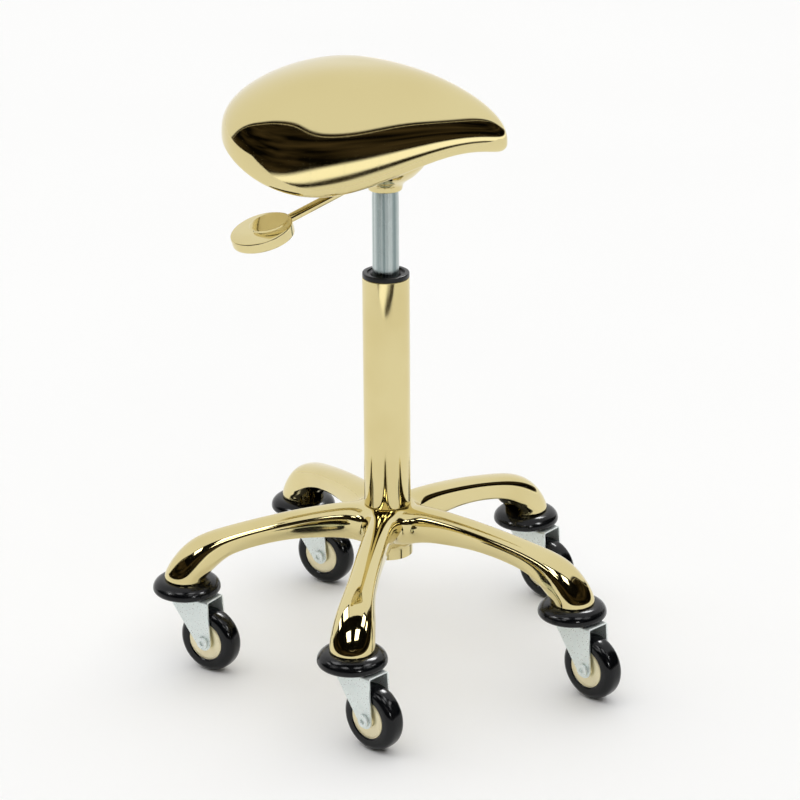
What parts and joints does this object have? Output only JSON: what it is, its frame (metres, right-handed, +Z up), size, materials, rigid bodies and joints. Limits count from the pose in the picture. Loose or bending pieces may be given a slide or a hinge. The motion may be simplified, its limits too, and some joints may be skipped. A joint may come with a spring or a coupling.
{
  "type": "dentist saddle stool",
  "caption": "Mirror-gold saddle stool: curved shell seat on a gas-lift column with a height lever, on a cast star base with hooded swivel casters.",
  "frame": {"origin": "on the floor, under the middle of the footprint of the whole stool as posed", "axes": "+Z up; +X to the right and +Y to the back as seen from the side of the leg that points forward; the seat nose points 15 degrees to the front of +X"},
  "size_m": [0.4972, 0.4986, 0.6553],
  "materials": {
    "gold_casting": "cast aluminium, polished and gold plated to a mirror",
    "gold_disc": "turned aluminium disc, gold plated, satin to bright",
    "gold_shell": "pressed metal shell, gold plated to a mirror",
    "gold_steel": "steel, gold plated to a mirror",
    "zinc_tube": "drawn steel tube, zinc plated, satin with fine lengthwise streaks",
    "bright_zinc": "pressed steel, bright zinc plated",
    "bare_steel": "turned steel, bright",
    "black_plastic": "moulded black plastic, glossy",
    "black_hood": "moulded black plastic hood, high gloss",
    "black_tyre": "smooth black polyurethane tread, glossy",
    "buffer_rubber": "moulded black rubber, matt",
    "pan_board": "moulded board, champagne gold lacquer"
  },
  "bodies": {
    "base": {"star_base": "gold_casting", "column_tube": "gold_steel", "column_bushing": "black_plastic", "bearing_lower_race": "bare_steel", "bearing_ball_cage": "bare_steel", "stem_1": "bare_steel", "stem_2": "bare_steel", "stem_3": "bare_steel", "stem_4": "bare_steel", "stem_5": "bare_steel", "hood_1": "black_hood", "hood_2": "black_hood", "hood_3": "black_hood", "hood_4": "black_hood", "hood_5": "black_hood"},
    "rod": {"piston_rod": "bare_steel", "bearing_upper_race": "bare_steel", "rod_clip": "bare_steel", "rubber_buffer": "buffer_rubber"},
    "lift": {"gas_cylinder": "zinc_tube", "cylinder_guide": "black_plastic", "mechanism_housing": "gold_steel", "lever_pivot_pin": "bare_steel", "seat_shell": "gold_shell", "seat_pan": "pan_board", "seat_bolt_1": "bright_zinc", "seat_bolt_2": "bright_zinc", "seat_bolt_3": "bright_zinc", "seat_bolt_4": "bright_zinc"},
    "lever": {"lever_rod": "gold_steel", "lever_paddle": "gold_steel"},
    "valve": {"release_pin": "bare_steel"},
    "caster_1": {"fork_1": "bright_zinc", "axle_bolt_1": "bright_zinc", "axle_nut_1": "bright_zinc"},
    "wheel_1": {"wheel_core_1": "gold_disc", "tyre_1": "black_tyre"},
    "caster_2": {"fork_2": "bright_zinc", "axle_bolt_2": "bright_zinc", "axle_nut_2": "bright_zinc"},
    "wheel_2": {"wheel_core_2": "gold_disc", "tyre_2": "black_tyre"},
    "caster_3": {"fork_3": "bright_zinc", "axle_bolt_3": "bright_zinc", "axle_nut_3": "bright_zinc"},
    "wheel_3": {"wheel_core_3": "gold_disc", "tyre_3": "black_tyre"},
    "caster_4": {"fork_4": "bright_zinc", "axle_bolt_4": "bright_zinc", "axle_nut_4": "bright_zinc"},
    "wheel_4": {"wheel_core_4": "gold_disc", "tyre_4": "black_tyre"},
    "caster_5": {"fork_5": "bright_zinc", "axle_bolt_5": "bright_zinc", "axle_nut_5": "bright_zinc"},
    "wheel_5": {"wheel_core_5": "gold_disc", "tyre_5": "black_tyre"}
  },
  "joints": [
    {"name": "seat_swivel", "type": "hinge", "parent": "base", "child": "rod", "pos_m": [0.00429, 0.01699, 0.2], "axis": [0, 0, 1], "continuous": true},
    {"name": "seat_height", "type": "slide", "parent": "rod", "child": "lift", "axis": [0, 0, 1], "range_m": [-0.075, 0.065]},
    {"name": "lever_lift", "type": "hinge", "parent": "lift", "child": "lever", "pos_m": [-0.01537, 0.00322, 0.53799], "axis": [-0.5736, 0.8192, 0], "range_deg": [0, 8], "stiffness_Nm_per_rad": 1.5, "springref_deg": -2.86},
    {"name": "valve_press", "type": "slide", "parent": "lift", "child": "valve", "axis": [0, 0, -1], "range_m": [0, 0.0036]},
    {"name": "caster_swivel_1", "type": "hinge", "parent": "base", "child": "caster_1", "pos_m": [-0.03184, -0.19891, 0.08], "axis": [0, 0, 1], "continuous": true},
    {"name": "wheel_spin_1", "type": "hinge", "parent": "caster_1", "child": "wheel_1", "pos_m": [-0.0099, -0.2201, 0.035], "axis": [0.6947, 0.7193, 0], "continuous": true},
    {"name": "caster_swivel_2", "type": "hinge", "parent": "base", "child": "caster_2", "pos_m": [0.19845, -0.08409, 0.08], "axis": [0, 0, 1], "continuous": true},
    {"name": "wheel_spin_2", "type": "hinge", "parent": "caster_2", "child": "wheel_2", "pos_m": [0.21953, -0.10614, 0.035], "axis": [0.723, 0.6909, 0], "continuous": true},
    {"name": "caster_swivel_3", "type": "hinge", "parent": "base", "child": "caster_3", "pos_m": [0.16042, 0.17042, 0.08], "axis": [0, 0, 1], "continuous": true},
    {"name": "wheel_spin_3", "type": "hinge", "parent": "caster_3", "child": "wheel_3", "pos_m": [0.18378, 0.15081, 0.035], "axis": [0.6428, 0.766, 0], "continuous": true},
    {"name": "caster_swivel_4", "type": "hinge", "parent": "base", "child": "caster_4", "pos_m": [-0.09338, 0.21289, 0.08], "axis": [0, 0, 1], "continuous": true},
    {"name": "wheel_spin_4", "type": "hinge", "parent": "caster_4", "child": "wheel_4", "pos_m": [-0.06772, 0.19641, 0.035], "axis": [0.5402, 0.8415, 0], "continuous": true},
    {"name": "caster_swivel_5", "type": "hinge", "parent": "base", "child": "caster_5", "pos_m": [-0.21221, -0.01537, 0.08], "axis": [0, 0, 1], "continuous": true},
    {"name": "wheel_spin_5", "type": "hinge", "parent": "caster_5", "child": "wheel_5", "pos_m": [-0.18672, -0.03211, 0.035], "axis": [0.549, 0.8358, 0], "continuous": true}
  ],
  "couplings": [
    {"joint": "valve_press", "follows": "lever_lift", "m_per_rad": 0.024}
  ]
}
